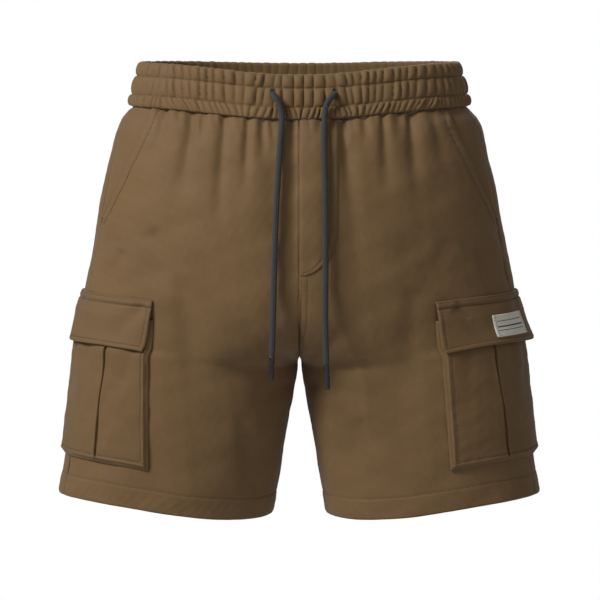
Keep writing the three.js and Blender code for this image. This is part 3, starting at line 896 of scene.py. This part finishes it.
def seam_relief(kind, side, drop, middle_gap, edge_gap):
    """What the seams do to a panel: a groove along both, a proud pocket mouth, and topstitching."""
    mouth = (kind == "front") * (1 - smooth((drop - MOUTH_END) / 10))
    relief = -0.9 * bell(middle_gap, 1.5) - (0.9 - 0.75 * mouth) * bell(edge_gap, 1.4)
    relief += mouth * (pinch(edge_gap - MOUTH_STITCH, drop, 0.6) + 0.5 * bell(edge_gap - 4, 4))
    if kind == "back":
        return relief + pinch(middle_gap - SEAT_STITCH, drop, 0.5) * (1 - smooth((drop - 250) / 12))
    below_fly = smooth((drop - 176) / 6) * (side > 0)
    return relief + 0.7 * pinch(middle_gap - CENTRE_STITCHES[1], drop, 0.5) * below_fly


def panel_drops():
    """Rows of a panel, closest at the waist seam, the fork and the hem's stitching."""
    above, below = HEM_STITCH - 3, HEM_STITCH + 3
    return stretches((PANEL_TOP, 62, 30), (62, 236, 84), (236, 280, 30), (280, above, 48),
                     (above, below, 9), (below, HEM, 12))


def line_on_row(outer, t, dd, drop, side, lift=THREAD_LIFT):
    """The row of a piece's grid that is nearest a drop, as a line for stitches."""
    row = int(np.argmin(np.abs(dd[:, 0] - drop)))
    normals = form_normal(t[row], dd[row]) * [side, 1, 1]
    return outer[row] + lift * normals, normals


def line_on_grid(outer, distance, rows, at, side, t, dd):
    """The points of a piece's grid that lie at a distance from one of its edges, one for each row."""
    points, normals = [], []
    for i in np.flatnonzero(rows):
        order = np.argsort(distance[i])
        points.append([np.interp(at, distance[i][order], outer[i][order, k]) for k in range(3)])
        t_at = np.interp(at, distance[i][order], t[i][order])
        normals.append(form_normal(np.array(t_at), np.array(dd[i, 0])) * [side, 1, 1])
    points, normals = np.array(points), np.array(normals)
    return points + THREAD_LIFT * normals, normals


def body_panel(kind, word):
    """A front or back, and its lines of stitching. Across, it goes from the middle seam to its outer
    edge along each level; down, from the waist seam to the hem; its creases, seams and hem raise it."""
    side, plan = SIDES[word], PANELS[kind]
    front = kind == "front"
    drops = panel_drops()
    uu, dd = np.meshgrid(stretches((0, 0.02, 4), (0.02, 0.97, 96), (0.97, 1, 8)), drops)
    edge_t = t_front_edge(dd) - GAP_T if front else t_side_seam(dd) + GAP_T
    t = plan["middle"] + (edge_t - plan["middle"]) * uu
    run = run_at_t(t, dd)
    middle_gap = np.abs(run_at_t(np.full_like(dd, plan["middle"]), dd) - run)
    edge_gap = np.abs(run_at_t(edge_t, dd) - run)
    x = side * form_point(t, dd)[..., 0]
    relief = panel_relief(x, run, dd, plan["creases"], plan["seed"])
    relief += seam_relief(kind, side, dd, middle_gap, edge_gap)
    rim = 0.5 * (1 - smooth((HEM - dd) / 1.2))
    thick = np.where(dd > HEM_STITCH, HEM_WALL, WALL)
    outer = on_form(side, t, dd, relief - rim)
    inner = on_form(side, t, dd, relief - thick + rim)
    apart = level_at(drops)["fork"] * (-0.15 if front else 0.15)
    for grid in (outer, inner):
        grid[:, 0, 1] += apart
        grid[:, 0, 0] *= smooth((drops - FORK_DROP) / 10)
    name = f"{kind}_panel_{word}"
    panel = sew(name, BODY, "body_cloth", outer, inner, run * side, dd)
    plan["flat"][0] * MM
    plan["flat"][1] * MM
    lines = [line_on_row(outer, t, dd, HEM_STITCH, side, 0)]
    if not front:
        rows = (drops > 24) & (drops < 252)
        return lines + [line_on_grid(outer, middle_gap, rows, SEAT_STITCH, side, t, dd)]
    rows = (drops > 24) & (drops < 146)
    lines.append(line_on_grid(outer, edge_gap, rows, MOUTH_STITCH, side, t, dd))
    rows = (drops > 180) & (drops < 243)
    double = CENTRE_STITCHES if side > 0 else ()
    return lines + [line_on_grid(outer, middle_gap, rows, at, side, t, dd) for at in double]


panel_lines = []
for word in SIDES:
    panel_lines += body_panel("front", word) + body_panel("back", word)
stitches("panel_stitches", THREAD, panel_lines)


# ---- hand pocket bearers
BEARER = {"bottom": 138, "tuck": 12, "sunk": -2.7}


def pocket_bearer(word):
    """Cloth behind the slanted mouth: across, from its tucked edge past the mouth to the side seam, with
    soft upright folds where it shows."""
    side = SIDES[word]
    drops = np.linspace(PANEL_TOP, BEARER["bottom"], 84)
    u = stretches((-1, 0, 8), (0, 1, 44))
    uu, dd = np.meshgrid(u, drops)
    mouth = t_front_edge(dd)
    tuck = mouth - t_at_x(slant_x(dd) - BEARER["tuck"], dd)
    t = mouth + uu * np.where(uu < 0, tuck, t_side_seam(dd) - GAP_T - mouth)
    run = run_at_t(t, dd)
    below = dd - WAIST_SEAM
    clear = np.clip(uu, 0, 1)
    folds = gathers(run + 0.12 * dd, gather_places(31, (7, 13), 200), 33) - 0.6
    relief = clear * (1.0 * folds * np.exp(-below / 24) + 0.25 * ripple_noise(run, dd, 6, 24, 41))
    relief -= 1.1 * bell(below, 1.6) + 0.8 * bell((1 - uu) * 30, 1.5) * (uu > 0)
    lift = BEARER["sunk"] * (1 - smooth(clear * 1.6)) + relief * clear
    outer, inner = on_form(side, t, dd, lift), on_form(side, t, dd, lift - TRIM_WALL)
    name = f"pocket_bearer_{word}"
    bearer = sew(name, BODY, "body_cloth", outer, inner, run * side, dd)


for word in SIDES:
    pocket_bearer(word)


# ---- mock fly
FLY = {"x": 39, "straight": 134, "bottom": 178.5, "lift": 0.35, "thick": 0.9, "rows": (1.2, 8.3)}


def fly_edge(drop):
    """Straight down, then a quarter ellipse in to the centre seam."""
    u = np.clip((drop - FLY["straight"]) / (FLY["bottom"] - FLY["straight"]), 0, 1)
    return FLY["x"] * np.sqrt(np.maximum(1 - u * u, 0.01))


def fly_placket():
    """The stitched-down mock opening: across, from the centre seam to its curved edge; a thin cloth
    that takes the front's creases, with two rows of stitching parallel to the edge."""
    curve = (FLY["bottom"] - FLY["straight"]) * np.sin(np.linspace(0, np.pi / 2, 36))
    drops = np.concatenate([np.linspace(23.4, FLY["straight"], 70), FLY["straight"] + curve[1:]])
    uu, dd = np.meshgrid(np.linspace(0, 1, 34), drops)
    x = 0.4 + (fly_edge(dd) - 0.4) * uu
    t = t_at_x(x, dd)
    run = run_at_t(t, dd)
    near = (1 - uu) * fly_edge(dd)
    first, second = FLY["rows"]
    relief = panel_relief(x, run, dd, FRONT_CREASES, PANELS["front"]["seed"])
    relief -= 0.25 * bell(x, 1.2)
    relief += pinch(near - first, dd + x, 0.35, 1.0, 5.5) + pinch(near - second, dd + x, 0.4, 1.0, 5.5)
    edge = np.minimum(near, FLY["bottom"] - dd + 0.4)
    thick = FLY["thick"] * smooth(edge + 0.15)
    outer = on_form(1, t, dd, relief + FLY["lift"] + thick)
    inner = on_form(1, t, dd, relief + 0.02)
    fly = sew("fly_placket", BODY, "body_cloth", outer, inner, run, dd)
    return [line_on_grid(outer, near, fly_edge(drops) > at + 1.5, at, 1, t, dd) for at in FLY["rows"]]


stitches("fly_stitches", THREAD, fly_placket())

# ---- cargo pockets
POCKET = {"top": 234, "bottom": 386, "back": -4, "face": 3.6, "lean": 3}
POCKET_FRONT = {
    "left": {"flap": (140.5, 138), "base": (141, 141)},
    "right": {"flap": (129, 126), "base": (130, 141)},
}
POCKET_CREASES = [(52, 240, 64, 340, 7, 1.1), (120, 236, 104, 330, 8, 1.3), (20, 250, 40, 360, 9, 1.0)]
PLEAT = {"top": 85, "bottom": {"left": 75, "right": 82}, "depth": 3.0, "reach": 3.2}
EDGE_STITCH = 5  # topstitching of pockets and flaps, from their edges
FLAP = {"top": 215, "fold": 222, "bottom": 268, "fold_lift": 2.4, "clear_lift": 5.5, "clear_drop": 234}
FLAP_STAND = {"left": 13, "right": 9}
FLAP_STITCHES = (216.5, 223)  # drops of the two rows that hold it
FLAP_CREASES = [(118, 224, 78, 262, 9, 1.5), (30, 224, 52, 264, 10, 1.1)]


def pocket_share(drop):
    """0 at a pocket's top and 1 at its bottom."""
    return (drop - POCKET["top"]) / (POCKET["bottom"] - POCKET["top"])


def base_run(word, drop):
    """Run of a pocket's front edge, where it is sewn to the leg."""
    top, bottom = POCKET_FRONT[word]["base"]
    return top + (bottom - top) * pocket_share(drop)


def pleat_run(word, drop):
    """Run of the pleat's middle, which wanders a little."""
    straight = PLEAT["top"] + (PLEAT["bottom"][word] - PLEAT["top"]) * pocket_share(drop)
    return straight + 0.8 * np.sin(drop / 14)


def pleat_width(drop):
    """How wide the pleat stands open: widest high up and again low down, and shut at the bottom."""
    u = pocket_share(drop)
    opening = 1.0 + 2.2 * bell(u - 0.22, 0.13) + 2.4 * bell(u - 0.84, 0.16)
    return opening * (1 - smooth((u - 0.93) / 0.06))


def edge_roll(edge, groove, high):
    """A turned edge: sunk at the very edge and swollen just inside it, each (height, width)."""
    return -groove[0] * bell(edge, groove[1]) + high[0] * bell(edge - high[1], high[2])


def cargo_face(word):
    """The pocket's front: across, from its front edge to its back one, with columns gathered at the
    pleat; a wedge-shaped trough for the pleat, rolled edges and a stitched border."""
    side = SIDES[word]
    low = POCKET["bottom"] - POCKET["lean"]
    drops = stretches((POCKET["top"], low - 8, 62), (low - 8, low, 16))
    part = stretches((-1, -0.93, 9), (-0.93, 0, 26))[None, :]
    folds = np.linspace(-1, 1, 25)[None, :]
    wide, middle = pleat_width(drops)[:, None], pleat_run(word, drops)[:, None]
    front, back = base_run(word, drops)[:, None] - POCKET["lean"], POCKET["back"] + POCKET["lean"]
    reach = PLEAT["reach"]
    ahead = middle + reach + (front - middle - reach) * -part
    behind = (middle - reach) + (back - middle + reach) * -part[:, ::-1]
    run = np.concatenate([ahead[:, :-1], middle - reach * folds, behind[:, 1:]], axis=1)
    dd = np.repeat(drops[:, None], run.shape[1], axis=1)
    off = np.abs(run - middle)
    trough = -PLEAT["depth"] * (1 - smooth((off - wide / 2 + 0.5) / 0.9)) * np.minimum(wide, 1)
    edge = np.minimum(np.minimum(front - run, run - back), low - dd)
    relief = trough + 0.5 * bell(off - wide / 2 - 1.6, 1.6) + edge_roll(edge, (1.1, 1.1), (0.5, 2.2, 1.5))
    relief += pinch(edge - EDGE_STITCH, dd + run, 0.4, 1.0, 5.5)
    relief += 0.4 * ripple_noise(run, dd, 7, 40, 51 + side) + 0.16 * ripple_noise(run, dd, 7, 13, 55 + side)
    relief += creases(run, dd, POCKET_CREASES)
    t = t_at_run(run, dd)
    lift = POCKET["face"] + TRIM_WALL
    outer = on_form(side, t, dd, lift + relief)
    inner = on_form(side, t, dd, lift + np.minimum(relief, 0) * 0.85 - TRIM_WALL)
    name = f"cargo_face_{word}"
    face = sew(name, POCKETS, "pocket_cloth", outer, inner, run * side, dd)
    lines = [line_on_row(outer, t, dd, low - EDGE_STITCH, side)]
    rows = drops < low - EDGE_STITCH
    for gap in (front - run, run - back):
        lines.append(line_on_grid(outer, gap, rows, EDGE_STITCH, side, t, dd))
    return lines


def pocket_outline(word, inset):
    """Runs and drops along a pocket's edge: down its front, across its bottom and up its back."""
    low, back = POCKET["bottom"] - inset, POCKET["back"] + inset
    down = np.linspace(POCKET["top"], low, 60)
    front = base_run(word, down) - inset
    across = np.linspace(front[-1], back, 60)[1:]
    up = down[::-1][1:]
    runs = np.concatenate([front, across, np.full(len(up), back)])
    return runs, np.concatenate([down, np.full(len(across), low), up])


def cargo_gusset(word):
    """The folded strip round a pocket: along, its outline; across, from the leg up to the face's edge,
    leaning in and swelling by half a sine wave."""
    side = SIDES[word]
    outer, inner, marks = [], [], []
    for v in np.linspace(0, 1, 7):
        inset = POCKET["lean"] * v - math.sin(math.pi * v)
        lift = 0.25 + (POCKET["face"] - 0.1 - 0.25) * v
        for grid, extra in ((outer, 0), (inner, TRIM_WALL)):
            runs, drops = pocket_outline(word, inset + extra)
            grid.append(on_form(side, t_at_run(runs, drops), drops, lift))
        runs, drops = pocket_outline(word, inset)
        marks.append(np.stack([runs * side, drops + 6 * v], -1))
    name = f"cargo_gusset_{word}"
    gusset = cloth_wall(name, np.stack(outer, 1), np.stack(inner, 1), np.stack(marks, 1))
    finish_piece(gusset, POCKETS, "pocket_cloth", name)


def flap_lift(word, run, drop):
    """Sewn down along the top, over the pocket's mouth, then standing off more at the back corner."""
    marks = [FLAP["top"], FLAP["fold"], FLAP["clear_drop"]]
    rise = np.interp(drop, marks, [0.5, FLAP["fold_lift"], FLAP["clear_lift"]])
    stand = FLAP_STAND[word] + (FLAP["clear_lift"] + 2 - FLAP_STAND[word]) * np.clip(run / 120, 0, 1)
    below = np.clip((drop - FLAP["clear_drop"]) / (FLAP["bottom"] - FLAP["clear_drop"]), 0, 1)
    wave = 0.5 * np.sin(run / 17 + SIDES[word]) * smooth((drop - 240) / 28)
    return rise + (stand - FLAP["clear_lift"]) * below + wave


def flap_front(word, drop):
    """Run of a flap's front edge."""
    top, bottom = POCKET_FRONT[word]["flap"]
    return top + (bottom - top) * (drop - FLAP["top"]) / (FLAP["bottom"] - FLAP["top"])


def flap_relief(word, run, drop):
    """The rolled band along the top, soft slanting creases and a little unevenness."""
    band = 0.9 * bell(drop - 218.5, 2.6) - 0.9 * bell(drop - 222.5, 1.1)
    uneven = 0.35 * ripple_noise(run, drop, 7, 36, 61 + SIDES[word])
    return band + creases(run, drop, FLAP_CREASES) + uneven


def cargo_flap(word):
    """A pocket's flap: across, from its front edge to its back one; down, from the seam over a rolled
    fold to the free edge, lifted off the pocket by flap_lift."""
    side = SIDES[word]
    drops = stretches((FLAP["top"], 226, 18), (226, 258, 20), (258, FLAP["bottom"], 16))
    uu, dd = np.meshgrid(stretches((0, 0.06, 9), (0.06, 0.94, 60), (0.94, 1, 9)), drops)
    front = flap_front(word, dd)
    run = front + (POCKET["back"] - front) * uu
    gaps = (front - run, run - POCKET["back"])
    edge = np.minimum(np.minimum(*gaps), FLAP["bottom"] - dd)
    relief = flap_relief(word, run, dd) + edge_roll(edge, (0.5, 0.8), (0.35, 2.4, 1.6))
    relief += pinch(edge - EDGE_STITCH, dd + run, 0.45, 1.0, 5.5) * (dd > 224)
    relief += pinch(dd - FLAP_STITCHES[1], run, 0.3, 1.0, 5.5)
    t = t_at_run(run, dd)
    lift = flap_lift(word, run, dd)
    outer = on_form(side, t, dd, lift + TRIM_WALL + relief)
    inner = on_form(side, t, dd, lift + np.minimum(relief, 0) * 0.6)
    name = f"cargo_flap_{word}"
    flap = sew(name, POCKETS, "pocket_cloth", outer, inner, run * side, dd)
    free_row = FLAP["bottom"] - EDGE_STITCH
    lines = [line_on_row(outer, t, dd, drop, side) for drop in (*FLAP_STITCHES, free_row)]
    rows = (drops > 224) & (drops < free_row)
    return lines + [line_on_grid(outer, gap, rows, EDGE_STITCH, side, t, dd) for gap in gaps]


pocket_lines = []
for word in SIDES:
    cargo_gusset(word)
    pocket_lines += cargo_face(word)
    pocket_lines += cargo_flap(word)
stitches("pocket_stitches", THREAD, pocket_lines, slot="pocket_cloth")


# ---- striped patch on the left flap
PATCH = {"top": 235, "bottom": 259, "front": 79, "back": 29, "skew": 0.06}


def flap_patch():
    """A thin tape on the flap's face, a little askew, whose edges are rounded down to the flap."""
    top, bottom, front, back = (PATCH[key] for key in ("top", "bottom", "front", "back"))
    run, dd = np.meshgrid(np.linspace(front, back, 50), np.linspace(top, bottom, 30))
    run = run - PATCH["skew"] * (dd - top)
    t = t_at_run(run, dd)
    ends = np.minimum(np.abs(run - run[:, :1]), np.abs(run - run[:, -1:]))
    edge = np.minimum(ends, np.minimum(dd - top, bottom - dd))
    base = flap_lift("left", run, dd) + TRIM_WALL + flap_relief("left", run, dd)
    outer = on_form(1, t, dd, base + 0.25 + 0.5 * smooth(edge / 0.8 + 0.2))
    inner = on_form(1, t, dd, base + 0.1)
    share = np.stack([(front - run) / (front - back), (dd - top) / (bottom - top)], -1)
    uv = share / (MM * WEAVE_SCALE)
    patch = cloth_wall("flap_patch", outer, inner, uv)
    finish_piece(patch, patch_material(), "patch", "flap_patch")
    normal = form_normal(t, dd)
    return [(outer[:, j] + 0.1 * normal[:, j], normal[:, j]) for j in (3, -4)]


stitches("patch_stitches", THREAD, flap_patch(), length=1.8, gap=0.8, thick=0.25, slot="patch")
